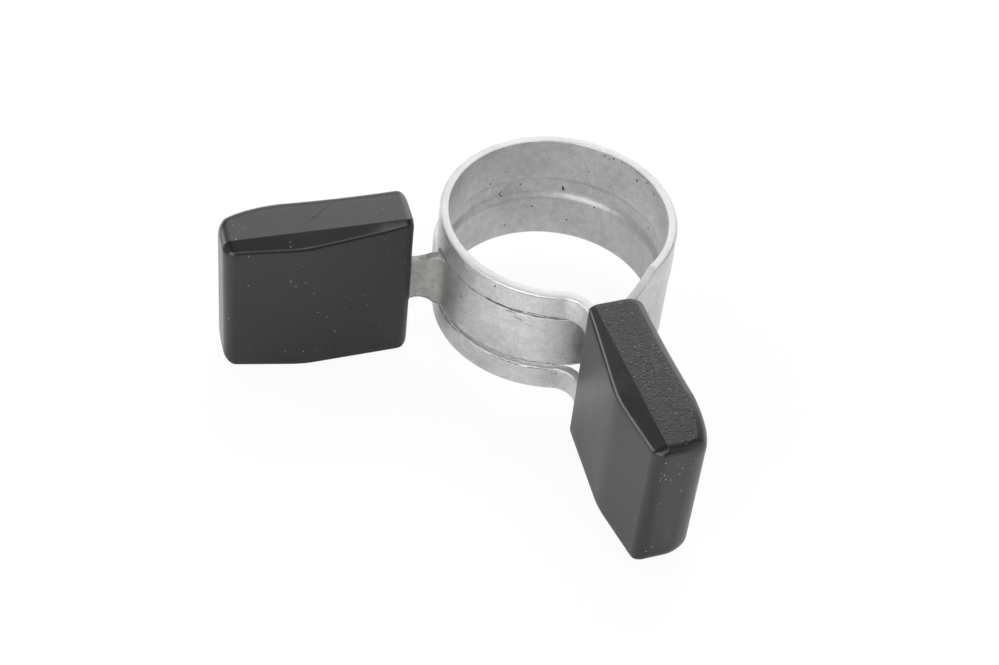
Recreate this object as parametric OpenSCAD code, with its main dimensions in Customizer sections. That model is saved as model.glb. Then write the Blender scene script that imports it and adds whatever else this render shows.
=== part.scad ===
// Spring band clamp: one bent strip of spring steel whose tongue crosses through a window in
// its own other end, with a moulded grip pushed on each of the two bent-out tabs.
// Squeezing the grips together opens the ring, and the band springs shut by itself.
//
// Frame: origin on the axis of the ring at mid-height, +Z along the bore, the closed back of
// the band towards +Y and one grip on either side of -Y. Angles run anticlockwise from +X.
// The strip is one piece. It is drawn as five stretches that meet face to face at four
// upright flexure lines, because each stretch turns as a rigid body when the ring opens.

/* [Band] */
// Diameter of the bore when nothing squeezes the grips
bore_d = 48; // [46:0.5:50]
// Thickness of the strip
strip_t = 2; // [1.8:0.1:2.2]
// Width of the strip along the bore
band_w = 28; // [26:0.5:30]
// Angle from the middle of the back to the rear flexure line on each side
rear_flex = 30; // [25:1:35]
// Angle from the middle of the back to the front flexure line on each side
front_flex = 90; // [85:1:93]
// How far each flexure line has opened, 0 for the free clamp
squeeze = 0; // [0:0.5:10]

/* [Bead] */
// How far the stiffening bead is pressed outwards
bead_depth = 1; // [0.8:0.1:1.2]
// Width of the bead's crest
bead_crest = 5; // [4:0.5:6]
// Width of each sloping flank of the bead
bead_flank = 1.3; // [1:0.1:1.6]
// Angle at which the bead starts to rise out of the strip on the right
bead_start = 22; // [16:1:28]
// Angle at which it has sunk back into the strip on the left
bead_end = 211; // [206:1:212]
// Length of the ramp at either end of the bead
bead_ramp = 5; // [4:0.5:6]

/* [Window] */
// Height of the window that the tongue passes through
window_h = 15.4; // [15:0.1:16]
// Angle of the blind end of the window
window_start = 219; // [215:1:220]
// Corner radius of the window
window_r = 2.5; // [1.5:0.5:3]
// How far the window runs into the right grip
window_in_grip = 3; // [2:0.5:4]

/* [Tongue] */
// Height of the tongue
tongue_h = 14; // [13.6:0.1:14.2]
// How far the tongue sits above mid-height
tongue_lift = 0.35; // [0.2:0.05:0.4]
// Angle at which the strip is last at its full width
shoulder_start = 351; // [349:0.5:353]
// Angle at which it has narrowed to the tongue
shoulder_end = 334; // [332:0.5:336]
// Radius of the inner corner where a shoulder meets the tongue
shoulder_r = 3; // [2:0.5:4]

/* [Tabs] */
// Angle between each grip and -Y
grip_splay = 47.4; // [46:0.2:49]
// Height of the left tab where it goes into its grip
left_tab_h = 10.9; // [10:0.1:12]
// Bend radius of the left tab at mid-thickness
left_bend_r = 5.5; // [5:0.5:6]
// Bend radius of the right tab at mid-thickness
right_bend_r = 6; // [5.5:0.5:6.5]
// Distance of the left tab's middle plane from the axis of the ring
left_tab_off = 0.7; // [0.5:0.1:1]
// Distance of the right tab's middle plane from the axis of the ring
right_tab_off = 3.5; // [3.2:0.1:3.8]
// Length of each tab inside its grip
tab_in_grip = 24; // [20:1:28]
// Corner radius of the end of each tab
tab_end_r = 3; // [2:0.5:4]

/* [Grips] */
// Distance from the axis of the ring to the left grip
left_grip_at = 32.8; // [32.6:0.1:34]
// Distance from the axis of the ring to the right grip
right_grip_at = 31.9; // [31.8:0.1:34]
// Length of a grip
grip_l = 41; // [39:0.5:44]
// Height of a grip at its inner end
grip_h = 38.6; // [36:0.2:40]
// How much lower the outer end is, above and below together
grip_h_drop = 3.6; // [2:0.2:5]
// Plastic over the tab on the facing side, measured from the tab's middle plane
facing_cover = 2.5; // [2.4:0.1:3]
// Where along the grip the facing side has its bend
facing_bend_at = 24; // [21:0.2:26]
// How far the bend stands proud of the inner end
facing_bulge = 2.4; // [1.6:0.1:2.6]
// How far the outer end of the facing side stands proud of the inner end
facing_end_rise = 0.4; // [0.2:0.05:0.9]
// Radius of the bend in the facing side
facing_bend_r = 25; // [20:1:30]
// Depth of the grip on the thumb side of the tab's middle plane, at its inner end
thumb_depth = 10; // [9:0.1:11]
// How much deeper it is where the thumb side starts to curve in
thumb_swell = 0.9; // [0.4:0.1:1.2]
// Hollow of the thumb side between its inner end and that curve
thumb_hollow = 0.35; // [0:0.05:0.6]
// Length of the curve at the outer end of the thumb side
thumb_curve_l = 13.5; // [11:0.5:15]
// How far that curve draws in
thumb_curve_depth = 4.5; // [3.5:0.1:5.5]
// Distance from the upper facing edge to the bevel's straight upper edge, at the inner end
bevel_inset = 1.1; // [0.8:0.1:1.4]
// How much further in that edge lies at the outer end
bevel_taper = 1.1; // [0.6:0.1:1.4]
// Slant of the bevel below the top of the grip
bevel_slant = 24; // [18:1:30]
// Radius of the long edges on the thumb side
thumb_edge_r = 3.5; // [2.5:0.1:4]
// Radius of the edges round the outer end
outer_end_r = 1.1; // [0.8:0.1:1.4]
// Radius of the upright edge between the inner end and the facing side
inner_corner_r = 2.4; // [1.6:0.1:2.4]

/* [Hidden] */
$fn = 144;

back = 90;
r_in = bore_d / 2;
r_out = r_in + strip_t;
r_mid = r_in + strip_t / 2;
r_flex = r_out + bead_depth;
half_w = band_w / 2;
left_dir = 270 - grip_splay;
right_dir = 270 + grip_splay;
steel = "#c3c7c6";
plastic = "#2c2d2f";
// How far a cutter runs past the faces that it cuts, in mm and as an angle about the bore
over = 2;
over_turn = 1;
// A hair's breadth that keeps two surfaces from lying exactly on each other
hair = 0.03;
// Angle by which the root of a tab runs on inside the wall of the ring
root_lead = 2;
// Steps in each rounded corner and in each drawn curve
corner_steps = 6;
curve_steps = 10;

// Points of an arc about c from angle a to angle b.
function arc(c, r, a, b, steps = corner_steps) =
    [for (i = [0:steps]) c + r * [cos(a + (b - a) * i / steps), sin(a + (b - a) * i / steps)]];

function unit(v) = v / norm(v);

// Corner of an outline at p, rounded to radius r, between the points before and after it.
function round_corner(before, p, after, r) =
    let (u = unit(before - p), v = unit(after - p),
         half = acos(u * v) / 2,
         c = p + unit(u + v) * r / sin(half),
         t1 = p + u * r / tan(half),
         t2 = p + v * r / tan(half),
         a1 = atan2(t1[1] - c[1], t1[0] - c[0]),
         turn = atan2(t2[1] - c[1], t2[0] - c[0]) - a1,
         sweep = turn > 180 ? turn - 360 : turn < -180 ? turn + 360 : turn)
    arc(c, r, a1, a1 + sweep);

// Smooth step from 0 to 1.
function ease(u) = u * u * (3 - 2 * u);

// Outline from its upper half, mirrored about the X axis.
function both_halves(upper) =
    concat(upper, [for (i = [len(upper) - 1:-1:0]) [upper[i][0], -upper[i][1]]]);

// ---- Where the stretches turn when the grips are squeezed ----

// Turns its children about the upright flexure line that lies from_back away from the middle
// of the back. Sides: 1 left, -1 right.
module flex_at(side, from_back) {
    a = back + side * from_back;
    p = r_flex * [cos(a), sin(a), 0];
    translate(p) rotate([0, 0, -side * squeeze]) translate(-p) children();
}

module on_side(side) {
    flex_at(side, rear_flex) children();
}

module on_arm(side) {
    flex_at(side, rear_flex) flex_at(side, front_flex) children();
}

// Frame of a tab: +X out along the grip, +Y towards the other grip.
module left_tab_frame() {
    rotate([0, 0, left_dir]) children();
}

module right_tab_frame() {
    rotate([0, 0, right_dir]) mirror([0, 1, 0]) children();
}

// ---- The strip ----

module sweep(from, to) {
    rotate([0, 0, from]) rotate_extrude(angle = to - from) children();
}

module plain_wall(from, to, low, high) {
    sweep(from, to) translate([r_in, low]) square([strip_t, high - low]);
}

// Section of the bead between the radii r_a and r_b: its flanks widen it towards the axis
// and the crest has the width w.
module bead_section(r_a, r_b, w) {
    grow = bead_flank * (r_b - r_a) / bead_depth;
    polygon([[r_a, -w / 2 - grow], [r_b, -w / 2], [r_b, w / 2], [r_a, w / 2 + grow]]);
}

// Space outside a flat ramp that leaves the circle of radius r at one end of the bead: side 1
// at its start, -1 at its end.
module ramp_cut(r, side) {
    rise = sqrt(pow(r + bead_depth, 2) - pow(bead_ramp, 2)) - r;
    rotate([0, 0, side > 0 ? bead_start : bead_end]) mirror([0, side < 0 ? 1 : 0, 0])
        translate([r, 0, -half_w]) rotate([0, 0, -atan2(rise, bead_ramp)])
            translate([0, -r_in / 2, 0]) cube([r_in, r_in, band_w]);
}

// Stretch of full-width strip with the bead, which is pressed out of the same thickness.
module beaded_wall(from, to) {
    starts = from < bead_start;
    ends = to > bead_end;
    bead_from = max(from, bead_start);
    bead_to = min(to, bead_end);
    overlap = strip_t / 4;
    difference() {
        union() {
            plain_wall(from, to, -half_w, half_w);
            difference() {
                sweep(bead_from, bead_to) bead_section(r_out - overlap, r_flex, bead_crest);
                if (starts) ramp_cut(r_out, 1);
                if (ends) ramp_cut(r_out, -1);
            }
        }
        difference() {
            sweep(starts ? bead_from : from - over_turn, ends ? bead_to : to + over_turn)
                bead_section(r_in - overlap, r_in + bead_depth, bead_crest - bead_flank);
            if (starts) ramp_cut(r_in, 1);
            if (ends) ramp_cut(r_in, -1);
        }
    }
}

// Centre of the bend that leads from the ring into a tab, and the angle at which it starts.
function bend_centre(r, off) = [sqrt(pow(r_mid + r, 2) - pow(off + r, 2)), off + r];
function bend_angle(r, off) = atan2(bend_centre(r, off)[1], bend_centre(r, off)[0]);

// One face of a bent tab, seen from above: side 1 looks towards the centre of the bend.
// The root runs on inside the wall of the ring, a hair thinner than it.
function tab_face(r, off, tip, side) =
    let (c = bend_centre(r, off), a = bend_angle(r, off),
         root_r = r_mid + side * (strip_t / 2 - hair))
    concat([for (lead = [root_lead, 0]) root_r * [cos(a + lead), sin(a + lead)]],
           arc(c, r - side * strip_t / 2, 180 + a + root_lead, 270, curve_steps),
           [[tip, off + side * strip_t / 2]]);

// Tab in its frame: the bend out of the ring, then the flat that the grip sits on.
module bent_tab(r, off, tip) {
    far = tab_face(r, off, tip, -1);
    translate([0, 0, -half_w]) linear_extrude(height = band_w)
        polygon(concat(tab_face(r, off, tip, 1), [for (i = [len(far) - 1:-1:0]) far[i]]));
}

// Prism across a tab from its outline in the X-Z plane of the tab's frame.
module across_tab(depth) {
    translate([0, depth, 0]) rotate([90, 0, 0]) linear_extrude(height = 2 * depth) children();
}

// Outline of the left tab: the tongue draws in to the tab's height and ends round-cornered.
module left_tab_outline() {
    wide = tongue_h / 2 - hair;
    narrow = left_tab_h / 2;
    tip = left_grip_at + tab_in_grip;
    to = left_grip_at - strip_t;
    flank = [for (i = [0:curve_steps]) let (u = i / curve_steps)
        [r_out + (to - r_out) * u, wide - (wide - narrow) * ease(u)]];
    end = round_corner([0, narrow], [tip, narrow], [tip, 0], tab_end_r);
    translate([0, tongue_lift]) polygon(both_halves(concat([[0, wide]], flank, end)));
}

module right_tab_outline() {
    wide = half_w - hair;
    tip = right_grip_at + tab_in_grip;
    polygon(both_halves(concat([[0, wide]], round_corner([0, wide], [tip, wide], [tip, 0], tab_end_r))));
}

module left_tab() {
    left_tab_frame() intersection() {
        bent_tab(left_bend_r, left_tab_off, left_grip_at + tab_in_grip);
        across_tab(r_mid) left_tab_outline();
    }
}

module right_tab() {
    right_tab_frame() intersection() {
        bent_tab(right_bend_r, right_tab_off, right_grip_at + tab_in_grip);
        across_tab(r_mid) right_tab_outline();
    }
}

// Prism that runs out through the wall of the ring at the angle a. Its outline lies in the
// plane that touches the ring there: X along the ring, Y up.
module through_wall(a) {
    rotate([0, 0, a]) translate([r_in - over, 0, 0]) rotate([90, 0, 90])
        linear_extrude(height = strip_t + 3 * over) children();
}

// Window: the run along the ring and the stretch in the tab, up to its round-cornered end.
module window_cut() {
    half = window_h / 2;
    bend_from = right_dir - bend_angle(right_bend_r, right_tab_off);
    edge = half + hair;
    corner = round_corner([window_h, edge], [0, edge], [0, 0], window_r);
    difference() {
        sweep(window_start - over_turn, bend_from + over_turn)
            translate([r_in - over, -half]) square([strip_t + 2 * over, window_h]);
        through_wall(window_start)
            polygon(both_halves(concat([[-over, half + over], [window_r, half + over]], corner)));
    }
    right_tab_frame() translate([r_in - over, right_tab_off - strip_t, -half])
        cube([right_grip_at + window_in_grip - r_in + over, r_mid / 2, window_h]);
}

// Space above or below the tongue, up to the shoulder: side 1 or -1.
module beside_tongue(side) {
    middle = (shoulder_start + shoulder_end) / 2;
    reach = r_mid * sin((shoulder_start - shoulder_end) / 2);
    edge = tongue_h / 2 + side * tongue_lift;
    floor_at = edge - hair;
    corner = round_corner([-band_w, floor_at], [-reach, floor_at], [reach, half_w], shoulder_r);
    mirror([0, 0, side < 0 ? 1 : 0]) difference() {
        translate([-r_flex, -2 * r_flex, edge]) cube([2 * r_flex, 2 * r_flex, half_w]);
        through_wall(middle)
            polygon(concat(corner, [[reach, half_w], [reach, half_w + over],
                                    [r_mid, half_w + over], [r_mid, floor_at - over],
                                    [corner[0][0], floor_at - over]]));
    }
}

module band_back() {
    color(steel) beaded_wall(back - rear_flex, back + rear_flex);
}

module band_left_side() {
    color(steel) on_side(1) beaded_wall(back + rear_flex, back + front_flex);
}

module band_right_side() {
    color(steel) on_side(-1) beaded_wall(back - front_flex, back - rear_flex);
}

// Left arm of the band, with the window, its two legs and the tab of the right grip.
module window_arm() {
    bend_from = right_dir - bend_angle(right_bend_r, right_tab_off);
    color(steel) on_arm(1) difference() {
        union() {
            beaded_wall(back + front_flex, bend_from);
            right_tab();
        }
        window_cut();
    }
}

// Right arm of the band, with the shoulders, the tongue and the tab of the left grip.
module tongue_arm() {
    bend_to = left_dir + bend_angle(left_bend_r, left_tab_off);
    color(steel) on_arm(-1) {
        difference() {
            plain_wall(bend_to, 360 + back - front_flex, -half_w, half_w);
            beside_tongue(1);
            beside_tongue(-1);
        }
        left_tab();
    }
}

// ---- The moulded grips ----

// Grip in the tab's frame, moved so that X = 0 is its inner end and Y = 0 the middle plane
// of the tab. Outlines from above, from the facing side and from the end cut it, and a shallow
// bevel takes the edge off the top along the facing side.
function facing_side() =
    let (start = [0, facing_cover], top = [facing_bend_at, facing_cover + facing_bulge],
         end = [grip_l, facing_cover + facing_end_rise])
    concat(round_corner([0, 0], start, top, inner_corner_r),
           round_corner(start, top, end, facing_bend_r),
           round_corner(top, end, [grip_l, 0], outer_end_r));

function thumb_side() =
    let (curve_from = grip_l - thumb_curve_l,
         deepest = thumb_depth + thumb_swell)
    concat([for (i = [0:2 * corner_steps]) let (a = 90 * i / (2 * corner_steps))
               [curve_from + thumb_curve_l * cos(a),
                thumb_curve_depth * (1 - sin(a)) - deepest]],
           [for (i = [1:curve_steps - 1]) let (u = i / curve_steps)
               [curve_from * (1 - u), thumb_swell * u - deepest
                                      + thumb_hollow * 4 * u * (1 - u)]],
           round_corner([curve_from, -thumb_depth], [0, -thumb_depth], [0, 0], outer_end_r));

module grip_from_above() {
    polygon(concat(facing_side(), thumb_side()));
}

module grip_from_facing_side() {
    high = grip_h / 2;
    low = high - grip_h_drop / 2;
    inner = round_corner([0, 0], [0, high], [grip_l, low], outer_end_r);
    outer = round_corner([0, high], [grip_l, low], [grip_l, 0], outer_end_r);
    polygon(both_halves(concat(inner, outer)));
}

// Outline from the end, turned a little in plan so that the rounding of its thumb side
// follows the swell of the grip.
module grip_from_end() {
    high = grip_h / 2;
    wall = thumb_depth + hair;
    reach = 2 * (facing_cover + facing_bulge);
    polygon(both_halves(concat(
        [[reach, high]], round_corner([reach, high], [-wall, high], [-wall, 0], thumb_edge_r))));
}

// Block above the bevel. Its lower face is the bevel, which starts at a straight edge along
// the top of the grip.
module above_bevel() {
    fall = atan(grip_h_drop / 2 / grip_l);
    turn = atan(bevel_taper / grip_l);
    wide = 2 * (bevel_inset + bevel_taper + facing_bulge);
    translate([0, facing_cover - bevel_inset, grip_h / 2])
        rotate([0, fall, 0]) rotate([0, 0, -turn]) rotate([-bevel_slant, 0, 0])
            translate([-over, -over, 0]) cube([grip_l + 2 * over, wide + over, wide]);
}

module grip_body() {
    difference() {
        intersection() {
            translate([0, 0, -grip_h]) linear_extrude(height = 2 * grip_h) grip_from_above();
            across_tab(grip_l) grip_from_facing_side();
            rotate([0, 0, -atan(thumb_swell / (grip_l - thumb_curve_l))])
                translate([-over, 0, 0]) rotate([90, 0, 90])
                    linear_extrude(height = grip_l + 2 * over) grip_from_end();
        }
        above_bevel();
    }
}

module left_grip() {
    color(plastic) on_arm(-1) difference() {
        left_tab_frame() translate([left_grip_at, left_tab_off, 0]) grip_body();
        left_tab();
    }
}

module right_grip() {
    color(plastic) on_arm(1) difference() {
        right_tab_frame() translate([right_grip_at, right_tab_off, 0]) grip_body();
        right_tab();
    }
}

band_back();
band_left_side();
band_right_side();
window_arm();
tongue_arm();
left_grip();
right_grip();
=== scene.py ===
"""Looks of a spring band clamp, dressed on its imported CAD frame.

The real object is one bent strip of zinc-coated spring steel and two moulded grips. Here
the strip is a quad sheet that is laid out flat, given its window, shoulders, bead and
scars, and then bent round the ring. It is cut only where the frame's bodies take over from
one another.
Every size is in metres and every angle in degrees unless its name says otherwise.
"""

import logging
import math
from dataclasses import dataclass, field
from enum import Enum

import bpy
import numpy as np
from mathutils import Matrix, Vector

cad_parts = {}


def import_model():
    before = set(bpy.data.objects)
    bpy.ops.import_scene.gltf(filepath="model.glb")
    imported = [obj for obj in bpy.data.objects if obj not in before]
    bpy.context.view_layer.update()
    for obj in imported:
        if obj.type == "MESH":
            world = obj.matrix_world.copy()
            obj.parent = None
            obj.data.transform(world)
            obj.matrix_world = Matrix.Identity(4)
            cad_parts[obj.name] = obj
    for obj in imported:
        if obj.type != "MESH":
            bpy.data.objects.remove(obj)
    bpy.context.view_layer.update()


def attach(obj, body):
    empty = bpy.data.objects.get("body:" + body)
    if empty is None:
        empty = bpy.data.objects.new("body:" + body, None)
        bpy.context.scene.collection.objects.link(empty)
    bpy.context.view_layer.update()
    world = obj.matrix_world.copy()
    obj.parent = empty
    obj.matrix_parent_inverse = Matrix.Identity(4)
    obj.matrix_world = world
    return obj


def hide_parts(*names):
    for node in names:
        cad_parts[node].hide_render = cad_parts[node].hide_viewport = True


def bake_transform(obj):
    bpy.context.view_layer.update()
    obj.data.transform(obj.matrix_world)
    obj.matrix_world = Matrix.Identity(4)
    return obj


MM = 0.001
TINY = 1e-12
SEED = 7
# Vertex attributes that carry each point's place in the flat strip and in the mould, so
# that patterns run on across the cuts and stay put when the band bends
STRIP_PLACE = "strip_place"
MOULD_PLACE = "mould_place"
# Each finer layer of a noise is this strong against the one before it
NOISE = {"Roughness": 0.6}

Pair = tuple[float, float]
Triple = tuple[float, float, float]
Tree = bpy.types.NodeTree
Socket = bpy.types.NodeSocket
Inputs = dict[str | int, object]

log = logging.getLogger("clamp")


# ---------------------------------------------------------------- helpers


def linear(hex_colour: str) -> tuple[float, float, float, float]:
    """Turns an sRGB hex colour into linear RGBA.

    Args:
        hex_colour: a colour such as "#c3c7c6".

    Returns:
        The linear red, green and blue, and an alpha of 1.
    """
    parts = (int(hex_colour[i : i + 2], 16) / 255 for i in (1, 3, 5))
    red, green, blue = (c / 12.92 if c <= 0.04045 else ((c + 0.055) / 1.055) ** 2.4 for c in parts)
    return (red, green, blue, 1.0)


def new_material(name: str) -> bpy.types.Material:
    """Makes a material that has a node tree.

    Args:
        name: its name.

    Returns:
        The material.
    """
    material = bpy.data.materials.new(name)
    material.use_nodes = True
    return material


def feed(tree: Tree, node: bpy.types.Node, inputs: Inputs) -> None:
    """Sets or links a node's inputs.

    Args:
        tree: the node tree that holds the node.
        node: the node.
        inputs: by name or number, each socket's value or the output that feeds it.
    """
    for name, value in inputs.items():
        if isinstance(value, Socket):
            tree.links.new(value, node.inputs[name])
        else:
            node.inputs[name].default_value = value


def add_node(
    tree: Tree, kind: str, inputs: Inputs | None = None, output: str | int = 0, **settings: object
) -> Socket | None:
    """Adds a shader node with its settings and links.

    Args:
        tree: the node tree that gets the node.
        kind: the node's type after "ShaderNode", such as "Bump".
        inputs: by name or number, each socket's value or the output that feeds it.
        output: the name or number of the output that is wanted.
        **settings: the node's own properties.

    Returns:
        That output of the new node, or None where it has none.
    """
    node = tree.nodes.new("ShaderNode" + kind)
    for name, value in settings.items():
        setattr(node, name, value)
    feed(tree, node, inputs or {})
    return node.outputs[output] if node.outputs else None


def coated(tree: Tree, body: str, coats: tuple[tuple[str, Socket], ...]) -> Socket:
    """Makes the nodes that lay colours over one another, each where its mask says.

    Args:
        tree: the material's node tree.
        body: the colour below, such as "#c3c7c6".
        coats: each coat's colour and mask, from the lowest to the uppermost.

    Returns:
        The output with the colour.
    """
    # The Mix node's sockets for colours have names that others share, so they go by number
    share, below, above, result = 0, 6, 7, 2
    colour = linear(body)
    for coat, mask in coats:
        inputs = {share: mask, below: colour, above: linear(coat)}
        colour = add_node(tree, "Mix", inputs, result, data_type="RGBA")
    return colour


def strongest(tree: Tree, masks: list[Socket]) -> Socket:
    """Makes the nodes that take the strongest of several masks at each point.

    Args:
        tree: the material's node tree.
        masks: the outputs with the masks.

    Returns:
        The output with the strongest.
    """
    best = masks[0]
    for mask in masks[1:]:
        best = add_node(tree, "Math", {0: best, 1: mask}, operation="MAXIMUM")
    return best


def spots(
    tree: Tree, place: Socket, spacing: float, radius: float, empty: float, strength: float | Socket
) -> Socket:
    """Makes the nodes for scattered round spots of many sizes.

    Args:
        tree: the material's node tree.
        place: the output that holds each point's place.
        spacing: how far apart the spots lie.
        radius: the radius of the largest.
        empty: the share of the places for a spot that hold none.
        strength: how strong the spots are, or the output that says so.

    Returns:
        The output that has the strength in a spot and 0 elsewhere.
    """
    largest = radius / spacing
    soft_rim = 0.4 * largest
    distance = add_node(tree, "TexVoronoi", {"Vector": place, "Scale": 1 / spacing})
    chance = add_node(tree, "SeparateColor", {0: distance.node.outputs["Color"]})
    size = add_node(tree, "MapRange", {"Value": chance, "From Min": empty, "To Max": largest})
    inside = add_node(tree, "Math", {0: size, 1: distance}, operation="SUBTRACT")
    return add_node(tree, "MapRange", {"Value": inside, "From Max": soft_rim, "To Max": strength})


def ease(share: np.ndarray) -> np.ndarray:
    """Smooth step from 0 to 1, held at its ends."""
    held = np.clip(share, 0.0, 1.0)
    return held * held * (3 - 2 * held)


def wavering(along: np.ndarray, size: float, seed: int, waves: int = 14) -> np.ndarray:
    """Makes a smooth seeded waver along a line, with a spread of about 1.

    Args:
        along: places along the line.
        size: the length of one lump.
        seed: what starts the source of chance.
        waves: how many sine waves are added up.

    Returns:
        One number for each place.
    """
    # The shortest and the longest wave, in lumps
    shortest, longest = 1.4, 5.0
    rng = np.random.default_rng(seed)
    lengths = size * rng.uniform(shortest, longest, size=waves)
    phases = rng.uniform(0, 2 * math.pi, size=waves)
    sines = np.sin(2 * math.pi * along[..., None] / lengths + phases)
    return sines.sum(axis=-1) * math.sqrt(2 / waves)


def rounded(before: Pair, corner: Pair, after: Pair, radius: float) -> list[np.ndarray]:
    """Points of a rounded corner of an outline.

    Args:
        before: the corner before it.
        corner: the corner.
        after: the corner after it.
        radius: its radius.

    Returns:
        The points, from the side of the corner before to that of the corner after.
    """
    steps = 6
    place = np.array(corner)
    back, onward = np.array(before) - place, np.array(after) - place
    back, onward = back / np.linalg.norm(back), onward / np.linalg.norm(onward)
    half = math.acos(float(np.clip(back @ onward, -1, 1))) / 2
    centre = place + (back + onward) / np.linalg.norm(back + onward) * radius / math.sin(half)
    first = place + back * radius / math.tan(half) - centre
    last = place + onward * radius / math.tan(half) - centre
    start = math.atan2(first[1], first[0])
    turn = (math.atan2(last[1], last[0]) - start + math.pi) % (2 * math.pi) - math.pi
    angles = [start + turn * k / steps for k in range(steps + 1)]
    return [centre + radius * np.array([math.cos(t), math.sin(t)]) for t in angles]


def finish_mesh(obj: bpy.types.Object) -> None:
    """Applies all of an object's modifiers, because a bending piece needs its final mesh.

    Args:
        obj: the object.
    """
    graph = bpy.context.evaluated_depsgraph_get()
    mesh = bpy.data.meshes.new_from_object(obj.evaluated_get(graph), depsgraph=graph)
    mesh.name = obj.name
    obj.modifiers.clear()
    obj.data = mesh


def link(mesh: bpy.types.Mesh) -> bpy.types.Object:
    """Makes an object of a mesh and links it to the scene.

    Args:
        mesh: the mesh, whose name the object gets.

    Returns:
        The object.
    """
    obj = bpy.data.objects.new(mesh.name, mesh)
    bpy.context.scene.collection.objects.link(obj)
    return obj


def smooth_mesh(name: str, points: np.ndarray, faces: list[tuple[int, ...]]) -> bpy.types.Mesh:
    """Makes a mesh whose faces are all shaded smooth.

    Args:
        name: its name.
        points: its vertices, one row each.
        faces: the numbers of each face's vertices.

    Returns:
        The mesh.
    """
    mesh = bpy.data.meshes.new(name)
    mesh.from_pydata([tuple(p) for p in points], [], faces)
    mesh.polygons.foreach_set("use_smooth", np.ones(len(faces), bool))
    return mesh


def keep_places(mesh: bpy.types.Mesh, name: str, places: np.ndarray) -> None:
    """Keeps each vertex's place in its pattern as a vertex attribute."""
    attribute = mesh.attributes.new(name, "FLOAT_VECTOR", "POINT")
    attribute.data.foreach_set("vector", places.astype(np.float32).ravel())


# ---------------------------------------------------------------- scars


@dataclass(frozen=True)
class Scar:
    """A short mark in a surface, from one place of its pattern to another."""

    start: Triple
    end: Triple
    half_width: float
    strength: float = 1.0

    def mask(self, tree: Tree, place: Socket) -> Socket:
        """Makes the nodes that have the mark's strength inside it and 0 outside it.

        Args:
            tree: the material's node tree.
            place: the output that holds each point's place.

        Returns:
            The output with the mask.
        """
        run = Vector(self.end) - Vector(self.start)
        step = run / max(run.length_squared, TINY)
        away = add_node(tree, "VectorMath", {0: place, 1: self.start}, operation="SUBTRACT")
        share = add_node(tree, "VectorMath", {0: away, 1: step}, "Value", operation="DOT_PRODUCT")
        held = add_node(tree, "Clamp", {"Value": share})
        nearest = add_node(tree, "VectorMath", {0: run, "Scale": held}, operation="SCALE")
        gap = add_node(tree, "VectorMath", {0: away, 1: nearest}, "Value", operation="DISTANCE")
        rim, core = self.half_width, self.half_width / 2
        fade = {"Value": gap, "From Min": rim, "From Max": core, "To Max": self.strength}
        return add_node(tree, "MapRange", fade)


def scar(start: Triple, end: Triple, half_width: float, strength: float = 1.0) -> Scar:
    """A scar whose places and half width are given in mm."""
    first, last = (tuple(c * MM for c in place) for place in (start, end))
    return Scar(first, last, half_width * MM, strength)


# Pits that the coating left and marks of the blanking and bending tools, on each face of the
# strip, and dark lines along the window's long edges, partly burrs and partly painted shadow
# of the gaps beside the tongue. Places are in mm of strip from the back, the left being
# positive, and in mm above the middle. A pit is a place and a half width, a crease a start, an
# end, a half width and a strength
INNER_FACE, OUTER_FACE = -1, 1
STRIP_PITS = {
    INNER_FACE: (
        (28.3, 4.1, 0.3), (19.5, 0.5, 0.3), (16.4, -5.8, 0.35), (22.9, -10.5, 0.25),
        (24.2, 6.3, 0.25), (4.0, 6.7, 0.25), (-9.0, 11.1, 0.4), (-12.5, 13.0, 0.25),
        (-15.6, 12.1, 0.35), (-12.9, 8.0, 0.2), (1.3, -3.2, 0.25), (7.6, -9.2, 0.3),
        (-14.4, 0.3, 0.3), (32.4, -6.6, 0.2), (0.6, 12.9, 0.3), (-0.5, 12.4, 0.2),
        (-1.7, 13.1, 0.3),
    ),
    OUTER_FACE: ((-88.7, 2.9, 0.28), (-87.1, -0.65, 0.2), (77.0, 12.4, 0.3), (92.3, -9.1, 0.25)),
}
STRIP_CREASES_AND_GAP_SHADE = {
    INNER_FACE: (
        ((9.6, -0.2), (9.4, -1.2), 0.28, 1.0),
        ((24.0, -0.4), (24.8, -1.2), 0.16, 1.0), ((24.8, -1.2), (24.1, -2.1), 0.16, 1.0),
        ((-3.0, 13.4), (-8.0, 13.5), 0.1, 0.5), ((-8.0, 13.5), (-13.5, 13.4), 0.14, 0.7),
    ),
    OUTER_FACE: (
        ((67.4, 12.75), (72.1, 9.8), 0.12, 0.3), ((68.0, 12.9), (69.2, 10.9), 0.1, 0.3),
        ((74.0, 13.3), (82.0, 13.4), 0.1, 0.5), ((82.0, 13.4), (90.0, 13.35), 0.12, 0.7),
        ((90.0, 13.35), (96.0, 13.4), 0.1, 0.4),
        # These five rows are dark lines along the window's long edges beside the tongue: partly burrs,
        # partly painted shadow of the gaps
        ((75.4, 7.95), (77.9, 7.85), 0.2, 1.0), ((77.9, 7.85), (79.9, 7.85), 0.28, 1.0),
        ((79.9, 7.85), (83.5, 8.1), 0.18, 1.0), ((84.6, 8.3), (90.9, 7.9), 0.12, 1.0),
        ((60.0, -7.9), (62.5, -8.05), 0.2, 1.0), ((63.2, -7.95), (65.6, -8.1), 0.26, 1.0),
        ((66.4, -8.0), (69.0, -7.9), 0.18, 1.0),
        ((78.0, -7.9), (84.0, -8.0), 0.2, 0.8), ((86.0, -8.1), (90.0, -8.0), 0.15, 0.8),
        ((-43.5, 13.8), (-50.4, 7.5), 0.16, 0.6), ((-75.0, 6.0), (-73.3, 5.5), 0.2, 0.6),
        ((-72.6, 5.0), (-71.2, 4.3), 0.15, 0.4), ((-77.1, 7.0), (-75.1, 7.1), 0.2, 0.7),
    ),
}
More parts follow.
